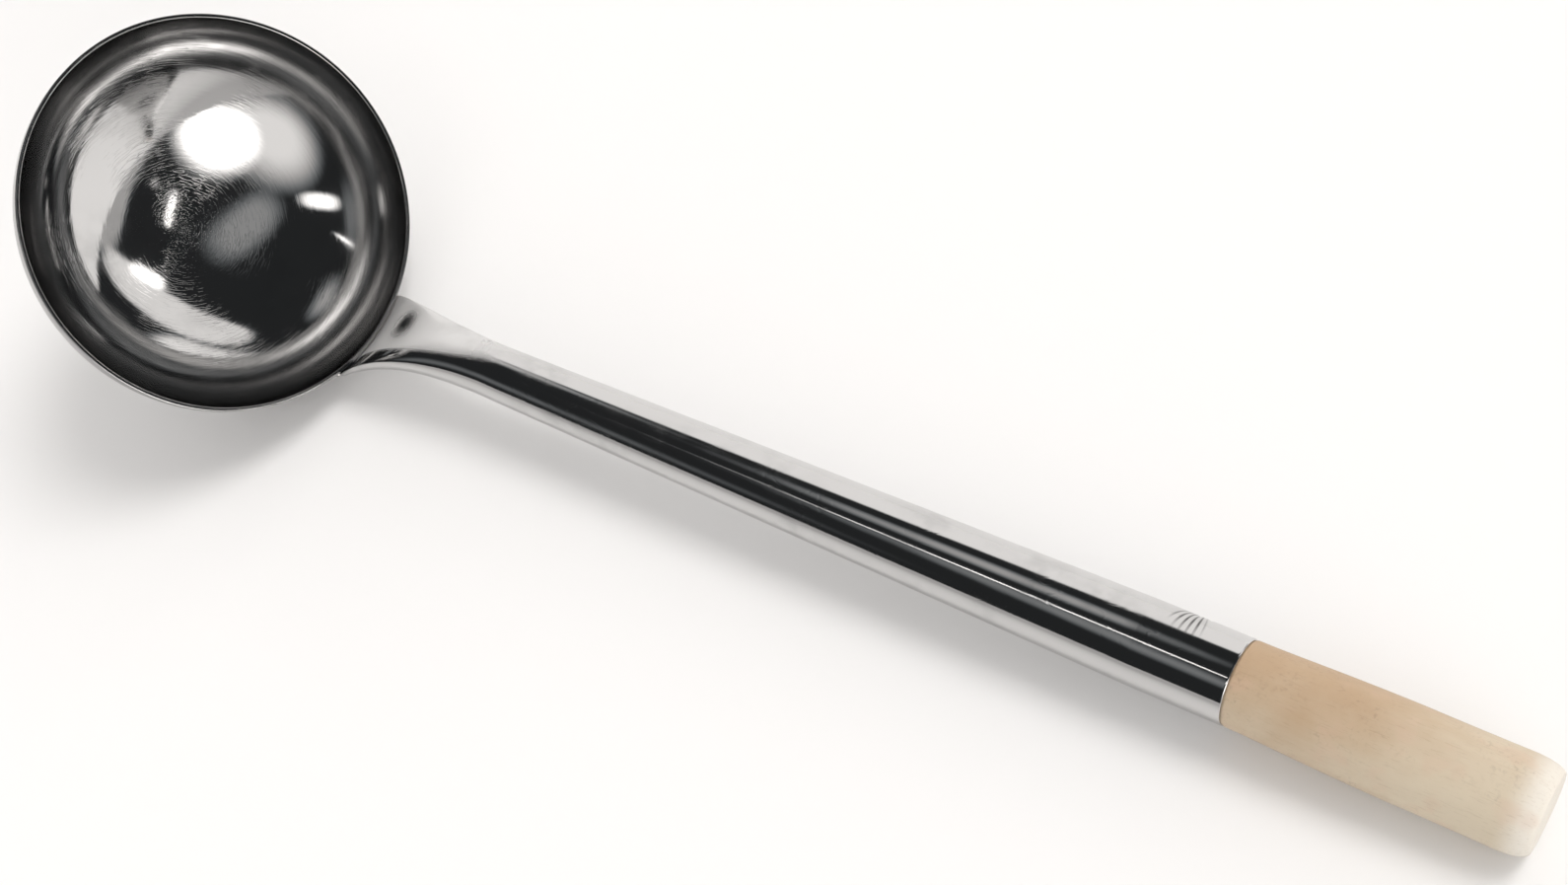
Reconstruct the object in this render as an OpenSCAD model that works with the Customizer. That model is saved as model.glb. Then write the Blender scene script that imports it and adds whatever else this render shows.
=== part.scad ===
// Wok ladle lying at rest: a round bowl, a hollow tube handle and a turned wooden grip.
// The part lies on the tongue under its bowl and on the butt of its grip, handle along +X,
// mirrored about Y = 0. The origin is the middle of its footprint on the surface that it lies on.

/* [Bowl] */
// Outer diameter of the rim
rim_d = 116; // [96:1:140]
// Depth of the bowl from the rim to the outside of its bottom
bowl_depth = 41; // [34:1:50]
// Thickness of the pressed sheet
sheet_t = 1.2; // [0.8:0.1:2]

/* [Handle tube] */
// Angle between the plane of the rim and the straight tube
tube_angle = 49.5; // [40:0.5:60]
// Height at which the line of the tube passes over the edge of the rim
tube_rise = 18.7; // [14:0.1:24]
// Length from the rim to the end of the tube, along the line of the tube
tube_len = 264.8; // [180:0.1:340]
// Outer diameter of the tube where it leaves the neck
tube_neck_d = 15.7; // [13:0.1:18]
// Outer diameter of the socket that holds the grip
socket_d = 22.9; // [20:0.1:26]
// Length of the parallel socket at the end of the tube
socket_len = 26; // [20:0.5:40]
// Wall of the rolled tube
tube_wall = 1; // [0.8:0.1:1.5]

/* [Neck] */
// Length of the bend between the rim and the straight tube
neck_len = 34; // [28:0.5:44]
// Width of the flattened end of the tube at the rim
tongue_w = 30; // [24:0.5:34]
// Length of the flattened tongue below the rim
tongue_len = 26; // [22:0.5:28]
// Thickness of the tongue, two walls pressed together
tongue_t = 2.6; // [2:0.1:4]
// Width of the weld bead round the tongue
bead_w = 2.2; // [1.4:0.1:3]

/* [Grip] */
// Largest diameter of the wooden grip
grip_d = 24.6; // [23:0.1:28]
// Diameter of the grip where it meets the tube
grip_joint_d = 22.6; // [20:0.1:22.9]
// Length of wood that shows
grip_len = 77.5; // [60:0.5:110]
// Length over which the grip swells to its largest diameter
grip_swell = 42; // [20:1:50]
// Length of the rounding at the butt
butt_round = 8; // [4:0.5:12]
// How far the rounding at the butt draws in
butt_draw = 2.2; // [1:0.1:4]
// Angle by which the grip leans off the line of the tube
grip_lean = 1.2; // [0:0.1:2]
// Length of the tenon inside the socket
tenon_len = 24; // [15:0.5:26]

/* [Nail] */
// Distance from the end of the tube to the nail
nail_back = 14.8; // [8:0.1:20]
// Diameter of the head of the nail
nail_head_d = 3; // [2.4:0.1:4]
// Diameter of the shank of the nail
nail_shank_d = 1.6; // [1.2:0.1:2]

/* [Hidden] */
$fn = 96;
rim_r = rim_d / 2;
joint_r = grip_joint_d / 2;
grip_r = grip_d / 2;
bore_r = socket_d / 2 - tube_wall;
tenon_gap = 0.05;
arc_steps = 36;
fine = 360;
ring_sides = 32;
neck_steps = 14;
tongue_steps = 8;
tongue_tip = 82;
hollow_start = 3;
bead_cut = 0.4;
neck_overlap = 1;
neck_d = tube_neck_d - 0.1;
neck_rise_pull = 18;
neck_tube_pull = 22;
neck_taper = 1.75;
bead_sides = 10;
bead_steps = 36;
nail_depth = 8;
nail_seat = 0.3;
nail_dome = 0.55;
butt_steps = 10;

// Outline of the bowl in its own frame, where the rim lies in Z = 0 and the mouth faces +Z.
function bowl_r(z) = rim_r * sqrt(max(0, 1 - pow(z / bowl_depth, 2)));
function quarter(r, d) = [for (i = [0:arc_steps]) let (a = 90 * i / arc_steps) [r * sin(a), -d * cos(a)]];
function turned(pts) = [for (i = [len(pts) - 1:-1:0]) pts[i]];

// The angle at which the bowl lies, where one line touches the tongue and the lower edge of the grip.
grip_angle = tube_angle - grip_lean;
joint_x = rim_r + tube_len * cos(tube_angle);
joint_z = tube_rise + tube_len * sin(tube_angle);
edge_run = grip_len - butt_round;
edge_x = joint_x + edge_run * cos(grip_angle) + grip_r * sin(grip_angle);
edge_z = joint_z + edge_run * sin(grip_angle) - grip_r * cos(grip_angle);
edge_dist = norm([edge_x, edge_z]);
edge_angle = atan2(edge_z, edge_x);
function reach(a) = sqrt(pow(rim_r * sin(a), 2) + pow(bowl_depth * cos(a), 2));
function settle(a, n) = n == 0 ? a
    : settle(edge_angle + asin((reach(a) + tongue_t) / edge_dist), n - 1);
lie_angle = settle(45, 12);
lift = reach(lie_angle) + tongue_t;

// The ends of the lying part along X, which put the origin in the middle.
back_reach = sqrt(pow(rim_r * cos(lie_angle), 2) + pow(bowl_depth * sin(lie_angle), 2));
butt_r = grip_r - butt_draw;
butt_x = joint_x + grip_len * cos(grip_angle);
butt_z = joint_z + grip_len * sin(grip_angle);
slope = grip_angle - lie_angle;
front_reach = butt_x * cos(lie_angle) + butt_z * sin(lie_angle) + butt_r * abs(sin(slope));
shift_x = (back_reach - front_reach) / 2;

module lying() {
    translate([shift_x, 0, lift]) rotate([0, lie_angle, 0]) children();
}

// Frame of the straight tube: +Z runs along it from over the rim, +X points to its underside.
module along_tube() {
    translate([rim_r, 0, tube_rise]) rotate([0, 90 - tube_angle, 0]) children();
}

// Frame of the grip: +Z runs along it from the end of the tube.
module along_grip() {
    along_tube() translate([0, 0, tube_len]) rotate([0, grip_lean, 0]) children();
}

// Frame of the nail: +Z runs outward from the middle of the tube, square to its side.
module along_nail() {
    along_tube() translate([0, 0, tube_len - nail_back]) rotate([-90, 0, 0]) children();
}

module bowl_outside() {
    rotate_extrude($fn = fine) polygon(concat(quarter(rim_r, bowl_depth), [[0, 0]]));
}

module bowl() {
    inner = quarter(rim_r - sheet_t, bowl_depth - sheet_t);
    color([0.78, 0.78, 0.79]) lying()
        rotate_extrude() polygon(concat(quarter(rim_r, bowl_depth), turned(inner)));
}

// The neck: a point on a cubic curve that leaves the rim upward and ends on the line of the tube.
tube_dir = [cos(tube_angle), sin(tube_angle)];
neck_end = [rim_r, tube_rise] + neck_len * tube_dir;
neck_start = [rim_r + tongue_t / 2, 0];
neck_p1 = neck_start + [0, neck_rise_pull];
neck_p2 = neck_end - neck_tube_pull * tube_dir;
function neck_at(t) = pow(1 - t, 3) * neck_start + 3 * pow(1 - t, 2) * t * neck_p1
    + 3 * (1 - t) * t * t * neck_p2 + pow(t, 3) * neck_end;
function neck_heading(t) = 3 * pow(1 - t, 2) * (neck_p1 - neck_start)
    + 6 * (1 - t) * t * (neck_p2 - neck_p1) + 3 * t * t * (neck_end - neck_p2);
function heading(v) = atan2(v[1], v[0]);
function signed_pow(s, e) = sign(s) * pow(abs(s), e);
function roundness(t) = 1 - pow(1 - t, neck_taper);
function blend(a, b, t) = a + (b - a) * t;

// Outline of one section as [across, outward] pairs, of half width w and half thickness h.
// Where round is 0 its inner side is flat and lies seat deeper than the wall that it rests on.
function section(w, h, seat, round) = [for (i = [0:ring_sides - 1]) let (
        a = 360 * i / ring_sides,
        e = 2 / blend(3, 2, round),
        full = h * signed_pow(sin(a), e),
        flat = (2 * h + seat) * pow(max(0, sin(a)), e) - h - seat)
    [w * signed_pow(cos(a), e), blend(flat, full, round)]];
// A section set square to the neck at c, with heading g, and bent round the bowl by wrap.
function ring(outline, c, g, wrap) = [for (p = outline)
    [c[0] + p[1] * sin(g) - wrap * p[0] * p[0] / 2, p[0], c[1] - p[1] * cos(g)]];

// A ring of the neck from the rim up to the tube, drawn in by inset for the hollow.
function neck_ring(t, inset, seat) = let (r = roundness(t))
    ring(section(blend(tongue_w, neck_d, r) / 2 - inset,
        blend(tongue_t, neck_d, r) / 2 - inset, seat * (1 - r), r),
        neck_at(t), heading(neck_heading(t)), (1 - r) / rim_r);
// The ring by which the neck runs a little way into the straight tube.
function tube_ring(inset) = ring(section(neck_d / 2 - inset, neck_d / 2 - inset, 0, 1),
    neck_end + neck_overlap * tube_dir, tube_angle, 0);

// The point of the outer wall of the bowl at u across and z high, and the way out from it.
function wall_point(u, z) = [sqrt(pow(bowl_r(z), 2) - u * u), u, z];
function wall_out(p) = let (n = [p[0], p[1], p[2] * pow(rim_r / bowl_depth, 2)]) n / norm(n);
// A ring of the tongue, which lies on the wall of the bowl and ends in a rounded tip.
function tongue_ring(s, seat) =
    [for (p = section(tongue_w / 2 * cos(s), tongue_t / 2, seat, 0))
        let (w = wall_point(p[0], -tongue_len * sin(s))) w + (p[1] + tongue_t / 2) * wall_out(w)];
function neck_rings(seat) = concat(
    [for (i = [tongue_steps:-1:1]) tongue_ring(tongue_tip * i / tongue_steps, seat)],
    [for (i = [0:neck_steps]) neck_ring(i / neck_steps, 0, seat)], [tube_ring(0)]);
hollow_rings = concat(
    [for (i = [hollow_start:neck_steps]) neck_ring(i / neck_steps, tube_wall, 0)],
    [tube_ring(tube_wall)]);

// A closed skin over a list of rings, each with the same number of points.
module skin(rings) {
    n = len(rings[0]);
    last = (len(rings) - 1) * n;
    sides = [for (j = [0:len(rings) - 2]) for (i = [0:n - 1]) for (face = [
            [j * n + i, j * n + (i + 1) % n, (j + 1) * n + i],
            [(j + 1) * n + i, j * n + (i + 1) % n, (j + 1) * n + (i + 1) % n]]) face];
    first_cap = [for (i = [n - 1:-1:0]) i];
    last_cap = [for (i = [0:n - 1]) last + i];
    polyhedron([for (r = rings) for (p = r) p], concat(sides, [first_cap], [last_cap]));
}

module straight_tube(inset, cut) {
    neck_r = tube_neck_d / 2 - inset;
    end_r = socket_d / 2 - inset;
    start = neck_len + (inset > 0 ? 0.6 : 0.4) * neck_overlap;
    along_tube() rotate_extrude() polygon([
        [0, start], [neck_r, start],
        [end_r, tube_len - socket_len], [end_r, tube_len + cut], [0, tube_len + cut]]);
}

module handle_tube() {
    color([0.74, 0.74, 0.75]) lying() difference() {
        union() {
            skin(neck_rings(0));
            straight_tube(0, 0);
        }
        skin(hollow_rings);
        straight_tube(tube_wall, 1);
        along_nail() cylinder(h = socket_d, d = nail_shank_d);
        along_nail() translate([0, 0, socket_d / 2 - nail_seat]) cylinder(h = 2, d = nail_head_d);
    }
}

// The bead follows the edge of the tongue on the wall of the bowl, from rim to rim.
function bead_ring(s) = let (
        c = wall_point(tongue_w / 2 * cos(s), -tongue_len * sin(s)),
        n = wall_out(c),
        e = [0, cos(s) / tongue_w, -sin(s) / tongue_len],
        side = (e - (e * n) * n) / norm(e - (e * n) * n))
    [for (i = [0:bead_sides - 1]) let (a = 360 * i / bead_sides)
        c + bead_w / 2 * (cos(a) * n + sin(a) * side)];

module neck_weld() {
    color([0.62, 0.61, 0.60]) lying() difference() {
        skin([for (i = [0:bead_steps]) bead_ring(4 + 172 * i / bead_steps)]);
        skin(neck_rings(bead_cut));
        bowl_outside();
        translate([0, 0, bowl_depth / 2]) cube([2 * rim_d, 2 * rim_d, bowl_depth], center = true);
    }
}

module wood_grip() {
    butt = [for (i = [0:butt_steps]) let (a = 90 * i / butt_steps)
        [grip_r - butt_draw * (1 - cos(a)), grip_len - butt_round * (1 - sin(a))]];
    color([0.80, 0.70, 0.56]) lying() difference() {
        union() {
            difference() {
                along_grip() rotate_extrude() polygon(concat(
                    [[0, -2], [joint_r, -2], [joint_r, 0], [grip_r, grip_swell]], butt, [[0, grip_len]]));
                along_tube() translate([0, 0, tube_len - 6]) cylinder(h = 6, r = 2 * grip_r);
            }
            along_tube() translate([0, 0, tube_len - tenon_len])
                cylinder(h = tenon_len, r = bore_r - tenon_gap);
        }
        along_nail() cylinder(h = socket_d, d = nail_shank_d);
    }
}

module grip_nail() {
    color([0.60, 0.60, 0.60]) lying() along_nail() {
        translate([0, 0, socket_d / 2 - nail_seat]) rotate_extrude() polygon(concat([[0, 0]],
            [for (i = [0:6]) [nail_head_d / 2 * cos(15 * i), nail_dome * sin(15 * i)]]));
        translate([0, 0, socket_d / 2 - nail_seat - nail_depth]) cylinder(h = nail_depth, d = nail_shank_d);
    }
}

bowl();
handle_tube();
neck_weld();
wood_grip();
grip_nail();
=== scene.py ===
"""Looks of a wok ladle: polished steel bowl, tapered tube handle and turned wooden grip.

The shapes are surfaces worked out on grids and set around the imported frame. Lengths are in metres.
"""

from math import asin, atan2, cos, hypot, pi, radians, sin, tan

import bpy
import numpy as np
from bpy.props import FloatProperty, FloatVectorProperty, PointerProperty
from mathutils import Matrix, Vector


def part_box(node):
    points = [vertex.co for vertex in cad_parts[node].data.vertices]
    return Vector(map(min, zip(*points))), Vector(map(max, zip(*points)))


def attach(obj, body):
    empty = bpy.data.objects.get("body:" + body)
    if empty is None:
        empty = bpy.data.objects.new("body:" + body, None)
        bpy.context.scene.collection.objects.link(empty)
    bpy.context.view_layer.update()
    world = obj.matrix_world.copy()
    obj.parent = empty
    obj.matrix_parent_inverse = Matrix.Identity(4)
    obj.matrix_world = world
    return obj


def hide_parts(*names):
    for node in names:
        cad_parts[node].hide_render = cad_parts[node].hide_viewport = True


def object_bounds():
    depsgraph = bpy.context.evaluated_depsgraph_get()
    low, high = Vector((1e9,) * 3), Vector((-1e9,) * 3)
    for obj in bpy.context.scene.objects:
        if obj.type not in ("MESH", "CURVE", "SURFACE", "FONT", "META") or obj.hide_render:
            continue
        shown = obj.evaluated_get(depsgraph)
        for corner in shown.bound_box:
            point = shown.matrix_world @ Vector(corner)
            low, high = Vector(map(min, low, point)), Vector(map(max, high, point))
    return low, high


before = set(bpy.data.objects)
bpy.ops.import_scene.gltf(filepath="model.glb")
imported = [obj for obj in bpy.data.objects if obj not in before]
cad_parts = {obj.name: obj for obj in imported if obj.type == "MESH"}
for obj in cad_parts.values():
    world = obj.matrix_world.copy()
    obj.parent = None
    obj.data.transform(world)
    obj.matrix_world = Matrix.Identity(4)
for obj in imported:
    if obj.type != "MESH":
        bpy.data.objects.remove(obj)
CAD_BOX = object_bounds()

bl_info = {
    "name": "Wok ladle",
    "version": (1, 0, 0),
    "blender": (4, 5, 0),
    "location": "View3D > Sidebar > Ladle",
    "description": "Builds the polished bowl, tube handle and wooden grip of a wok ladle",
    "category": "Add Mesh",
}

MM = 0.001
BODY = "root"
BLACK = (0.0, 0.0, 0.0)


# ---- Sizes that a user would change ----

def length(name, description, default):
    """A length property in metres."""
    return FloatProperty(name=name, description=description, default=default, unit="LENGTH", precision=5)


def angle(name, description, degrees):
    """An angle property, given here in degrees."""
    return FloatProperty(name=name, description=description, default=radians(degrees), unit="ROTATION")


def amount(name, description, default):
    """A plain number between nothing and a little over one."""
    return FloatProperty(name=name, description=description, default=default, min=0.0, soft_max=2.0)


def colour(name, description, default):
    """A linear colour property."""
    return FloatVectorProperty(
        name=name, description=description, default=default, size=3, min=0.0, max=1.0, subtype="COLOR"
    )


class LadleBowlSettings(bpy.types.PropertyGroup):
    """Sizes of the pressed bowl."""

    rim_radius: length("Rim radius", "Outer radius of the rim", 58.0 * MM)
    depth: length("Depth", "Depth from the rim to the outside of the bottom", 41.0 * MM)
    sheet: length("Sheet", "Thickness of the pressed sheet", 1.2 * MM)
    edge: length("Rim edge", "Radius that the edge of the rim is eased to", 0.28 * MM)
    unevenness: length("Unevenness", "How far the hand-finished rim strays from a circle", 0.5 * MM)
    steel: colour("Steel", "Colour of the polished sheet", (0.74, 0.735, 0.73))


class LadleHandleSettings(bpy.types.PropertyGroup):
    """Sizes of the rolled tube with its neck and tongue."""

    tube_angle: angle("Tube angle", "Angle between the plane of the rim and the tube", 49.5)
    rise: length("Rise", "Height of the tube's line over the edge of the rim", 18.7 * MM)
    tube_length: length("Tube length", "From over the rim to the end of the tube", 264.8 * MM)
    neck_radius: length("Neck radius", "Radius of the tube where it leaves the neck", 7.85 * MM)
    socket_radius: length("Socket radius", "Outer radius of the socket", 11.45 * MM)
    socket_length: length("Socket length", "Length of the parallel socket", 26.0 * MM)
    wall: length("Wall", "Thickness of the rolled wall", 1.0 * MM)
    neck_length: length("Neck length", "Length of the bend over the rim", 34.0 * MM)
    tongue_width: length("Tongue width", "Width of the flattened end at the rim", 30.0 * MM)
    tongue_length: length("Tongue length", "How far the tongue reaches below the rim", 26.0 * MM)
    tongue_thickness: length("Tongue thickness", "Two walls pressed together", 2.6 * MM)
    bead: length("Bead", "Radius of the weld bead round the tongue", 1.05 * MM)
    steel: colour("Tube steel", "Colour of the polished tube", (0.72, 0.715, 0.71))


class LadleGripSettings(bpy.types.PropertyGroup):
    """Sizes and colours of the wooden grip and its nail."""

    joint_radius: length("Joint radius", "Radius where the wood meets the tube", 11.3 * MM)
    radius: length("Radius", "Largest radius of the grip", 12.3 * MM)
    shown: length("Length", "Length of wood that shows", 77.5 * MM)
    swell: length("Swell", "Length over which the grip swells", 42.0 * MM)
    butt_round: length("Butt rounding", "Length of the rounding at the butt", 8.0 * MM)
    butt_draw: length("Butt draw", "How far the rounding draws in", 2.2 * MM)
    lean: angle("Lean", "Angle by which the grip leans off the line of the tube", 1.2)
    tenon: length("Tenon", "Length of the tenon in the socket", 24.0 * MM)
    nail_back: length("Nail place", "Distance from the end of the tube to the nail", 14.8 * MM)
    nail_radius: length("Nail head", "Radius of the nail's head", 1.5 * MM)
    warm_wood: colour("Warm wood", "Colour of the darker, warmer wood", (0.47, 0.33, 0.205))
    pale_wood: colour("Pale wood", "Colour of the paler wood", (0.63, 0.545, 0.415))


class LadleStageSettings(bpy.types.PropertyGroup):
    """Camera, floor and lights."""

    azimuth: angle("Azimuth", "Direction that the camera looks in, from +Y towards -X", 50.53)
    elevation: angle("Elevation", "Height of the camera over the floor", 55.39)
    roll: angle("Roll", "Turn of the camera about its own line of sight", -23.39)
    distance: length("Distance", "From the camera to the point it aims at", 0.6494)
    aim: FloatVectorProperty(
        name="Aim", description="Point that the camera aims at", default=(0.0031, 0.0136, 0.018), size=3,
        subtype="TRANSLATION", unit="LENGTH",
    )
    lens: FloatProperty(name="Lens", description="Focal length in millimetres", default=55.19, min=10.0)
    floor_size: length("Floor", "Side of the floor", 6.0)
    floor_colour: colour("Floor colour", "Colour of the plain floor", (0.86, 0.86, 0.86))
    fill: amount("Fill", "Even light that matt surfaces see from all round", 0.60)
    backdrop: amount("Backdrop", "Light of the room beyond the floor", 0.86)
    far_floor: amount("Far floor", "Share of the floor's light that polished metal sees far in front", 0.46)
    near_floor: amount("Near floor", "Share of the floor's light that polished metal sees close by", 0.92)
    bright_to: length("Bright to", "Distance in front of the ladle at which the floor starts to dim", -0.02)
    far_from: length("Far from", "Distance in front of the ladle at which the floor is dimmest", 0.16)
    dark_room: amount("Dark room", "Even light that polished metal sees from all round", 0.022)
    depth_light: amount("Deep light", "Share of the light left after four mirrorings in the bowl", 0.22)


SETTINGS = {
    "ladle_bowl": LadleBowlSettings,
    "ladle_handle": LadleHandleSettings,
    "ladle_grip": LadleGripSettings,
    "ladle_stage": LadleStageSettings,
}


# ---- How the ladle lies, from the frame ----

class Lie:
    """Places points of the bowl's own frame (rim in z = 0, mouth up, handle over +x) in the row's.

    The ladle lies on its tongue and on the butt of its grip, so the bowl is turned about y until one
    line touches both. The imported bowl's box then gives the shift along x and the lift off the floor.
    """

    def __init__(self, bowl, handle, grip):
        self.over_rim, self.tube_dir, self.tube_below = tube_frame(bowl, handle)
        grip_angle = handle.tube_angle - grip.lean
        self.grip_dir = np.array([cos(grip_angle), 0.0, sin(grip_angle)])
        self.grip_below = np.array([sin(grip_angle), 0.0, -cos(grip_angle)])
        self.joint = self.over_rim + handle.tube_length * self.tube_dir
        self.nail = self.joint - grip.nail_back * self.tube_dir
        parallel = (grip.shown - grip.butt_round) * self.grip_dir
        edge = self.joint + parallel + grip.radius * self.grip_below
        away = hypot(edge[0], edge[2])
        self.turn = radians(45)
        for _ in range(12):
            rest = self.reach(bowl, self.turn) + handle.tongue_thickness
            self.turn = atan2(edge[2], edge[0]) + asin(rest / away)
        low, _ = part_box("bowl")
        back = self.reach(bowl, pi / 2 - self.turn)
        self.shift = np.array([low.x + back, 0.0, low.z + self.reach(bowl, self.turn)])

    @staticmethod
    def reach(bowl, turn):
        """Distance from the middle of the rim to the floor under a bowl that is turned by turn."""
        return hypot(bowl.rim_radius * sin(turn), bowl.depth * cos(turn))

    def place(self, points):
        """Turns points about y and shifts them: x' = x cos + z sin, z' = -x sin + z cos."""
        c, s = cos(self.turn), sin(self.turn)
        x, y, z = points[..., 0], points[..., 1], points[..., 2]
        return np.stack([x * c + z * s, y, z * c - x * s], -1) + self.shift


def lie():
    """The lie of the ladle for the present settings."""
    scene = bpy.context.scene
    return Lie(scene.ladle_bowl, scene.ladle_handle, scene.ladle_grip)


# ---- Surfaces ----

def smooth(t):
    """Rises from 0 to 1 as 3t^2 - 2t^3 while t goes from 0 to 1."""
    t = np.clip(t, 0.0, 1.0)
    return t * t * (3.0 - 2.0 * t)


def blend(a, b, t):
    """The value t of the way from a to b."""
    return a + (b - a) * t


def signed_power(value, power):
    """The size of value raised to power, with the sign of value."""
    return np.sign(value) * np.abs(value) ** power


def unit(vectors):
    """Vectors scaled to length one."""
    return vectors / np.linalg.norm(vectors, axis=-1, keepdims=True)


def grid_faces(rings, sides):
    """Quads between neighbouring rings of a tube, each ring closed on itself, facing outward when
    the rings run along their own right-hand axis."""
    j, i = np.meshgrid(np.arange(rings - 1), np.arange(sides), indexing="ij")
    k = (i + 1) % sides
    quads = np.stack([j * sides + i, j * sides + k, (j + 1) * sides + k, (j + 1) * sides + i], -1)
    return quads.reshape(-1, 4)


def inside_out(grid):
    """Whether quads between the rings would face inward: the sum over the quads of corner . (one
    diagonal x the other) is six times the volume, and it is negative when they do."""
    around = np.roll(grid, -1, axis=1)
    a, b, c, d = grid[:-1], around[:-1], around[1:], grid[1:]
    middle = grid.mean((0, 1))
    return ((a + b + c + d - 4 * middle) * np.cross(c - a, d - b)).sum() < 0


def closed_mesh(name, grid, uv):
    """A closed piece from a grid of rings: quads between the rings and a fan over each end.

    grid is (rings, sides, 3) and uv is (rings, sides, 2), with u round the ring. The corner that
    closes a ring takes u one period on, so a pattern runs on over the seam."""
    if inside_out(grid):
        return closed_mesh(name, grid[::-1], uv[::-1])
    rings, sides = grid.shape[:2]
    ends = np.stack([grid[0].mean(0), grid[-1].mean(0)])
    points = np.concatenate([grid.reshape(-1, 3), ends])
    quads = grid_faces(rings, sides)
    i = np.arange(sides)
    k = (i + 1) % sides
    first, last = rings * sides, rings * sides + 1
    top = (rings - 1) * sides
    fans = np.concatenate([
        np.stack([k, i, np.full(sides, first)], -1),
        np.stack([top + i, top + k, np.full(sides, last)], -1),
    ])
    mesh = bpy.data.meshes.new(name)
    loops = np.concatenate([quads.ravel(), fans.ravel()])
    sizes = np.concatenate([np.full(len(quads), 4), np.full(len(fans), 3)])
    starts = np.concatenate([[0], np.cumsum(sizes)[:-1]])
    mesh.vertices.add(len(points))
    mesh.vertices.foreach_set("co", points.astype(np.float32).ravel())
    mesh.loops.add(len(loops))
    mesh.loops.foreach_set("vertex_index", loops.astype(np.int32))
    mesh.polygons.add(len(sizes))
    mesh.polygons.foreach_set("loop_start", starts.astype(np.int32))
    mesh.polygons.foreach_set("use_smooth", np.ones(len(sizes), bool))
    flat = np.concatenate([uv.reshape(-1, 2), uv[0].mean(0)[None], uv[-1].mean(0)[None]])
    corner = flat[loops]
    column = loops % sides
    wraps = np.zeros(len(loops), bool)
    wraps[: quads.size] = (np.tile([0, 1, 1, 0], len(quads)) == 1) & (column[: quads.size] == 0)
    period = uv[0, -1, 0] - uv[0, 0, 0] + (uv[0, 1, 0] - uv[0, 0, 0])
    corner[wraps, 0] += period
    layer = mesh.uv_layers.new(name="Surface")
    layer.data.foreach_set("uv", corner.astype(np.float32).ravel())
    mesh.update(calc_edges=True)
    mesh.validate()
    return mesh


def shown(name, lying, surface, material, slot, *nodes):
    """Puts a piece in the scene that has this surface and stands for the named nodes."""
    grid, uv = surface
    mesh = closed_mesh(name, lying.place(grid), uv)
    mesh.materials.append(material)
    piece = bpy.data.objects.new(name, mesh)
    bpy.context.scene.collection.objects.link(piece)
    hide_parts(*nodes)
    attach(piece, BODY)
    return piece


def ring_angles(sides):
    """Angles of the corners of a ring, evenly round the circle."""
    return np.arange(sides) * 2.0 * pi / sides


def bowl_profile(bowl):
    """Section of the sheet as (radius, height): the outer quarter ellipse from the pole up to the
    rim, a small round over each edge of the rim, and the inner quarter ellipse back to the pole."""
    pole = radians(0.35)
    outer = np.linspace(pole, pi / 2, 96)
    a, c, t, e = bowl.rim_radius, bowl.depth, bowl.sheet, bowl.edge
    outside = np.stack([a * np.sin(outer), -c * np.cos(outer)], -1)
    outside = outside[outside[:, 1] < -e]
    turn = np.linspace(0.0, pi / 2, 6)
    first = np.stack([a - e + e * np.cos(turn), e * np.sin(turn) - e], -1)
    second = np.stack([a - t + e - e * np.sin(turn), e * np.cos(turn) - e], -1)
    inside = np.stack([(a - t) * np.sin(outer), (t - c) * np.cos(outer)], -1)[::-1]
    inside = inside[inside[:, 1] < -e]
    return np.concatenate([outside, first, second, inside])


def bowl_surface(bowl):
    """The bowl as its section turned about the z axis. The radius is drawn in by a few slow waves
    round the rim and by a shallow flat where the neck is welded, both fading towards the bottom."""
    profile = bowl_profile(bowl)
    sides = 288
    around = ring_angles(sides)
    waves = 0.5 * np.ones(sides)
    for count, size, start in ((2, 0.22, 0.9), (3, 0.16, -1.1), (5, 0.12, 2.0)):
        waves += size * np.cos(count * around + start)
    away = np.minimum(around, 2 * pi - around)
    flat, flat_depth = np.exp(-((away / 0.30) ** 2)), 0.25 * MM
    fade = np.clip(1.0 + profile[:, 1] / bowl.depth, 0.0, 1.0) ** 2
    inward = bowl.unevenness * np.clip(waves, 0.0, 1.0) * (1.0 - flat) + flat_depth * flat
    radius = profile[:, :1] * (1.0 - fade[:, None] * inward[None] / bowl.rim_radius)
    height = np.repeat(profile[:, 1:], sides, 1)
    grid = np.stack([radius * np.cos(around), radius * np.sin(around), height], -1)
    return grid, surface_map(around, travelled(profile) / bowl.rim_radius)


def surface_map(around, along):
    """The map of a piece: u once round each ring, and v along the piece."""
    return np.stack(np.broadcast_arrays(around[None] / (2 * pi), along), -1)


def travelled(points):
    """How far each point of a line is from its start, measured along the line."""
    step = np.linalg.norm(np.diff(points, axis=0), axis=1)
    return np.concatenate([[0.0], np.cumsum(step)])[:, None]


def wall_point(bowl, across, height):
    """The point of the outer wall that lies across off the middle and at that height."""
    level = bowl.rim_radius * np.sqrt(np.maximum(0.0, 1.0 - (height / bowl.depth) ** 2))
    return np.stack([np.sqrt(level ** 2 - across ** 2), across, height], -1)


def wall_out(bowl, point):
    """The way straight out of the outer wall at a point on it."""
    return unit(point * np.array([1.0, 1.0, (bowl.rim_radius / bowl.depth) ** 2]))


def section(around, half_width, half_thickness, roundness):
    """Outline of one section as (across, outward): flat on its inner side like a tongue that lies on
    the wall where roundness is 0, and an ellipse where it is 1."""
    power = 2.0 / blend(3.0, 2.0, roundness)
    full = half_thickness * signed_power(np.sin(around), power)
    flat = 2.0 * half_thickness * np.maximum(0.0, np.sin(around)) ** power - half_thickness
    return half_width * signed_power(np.cos(around), power), blend(flat, full, roundness)


# How fast the neck closes in on the round tube.
NECK_TAPER = 1.75

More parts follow.
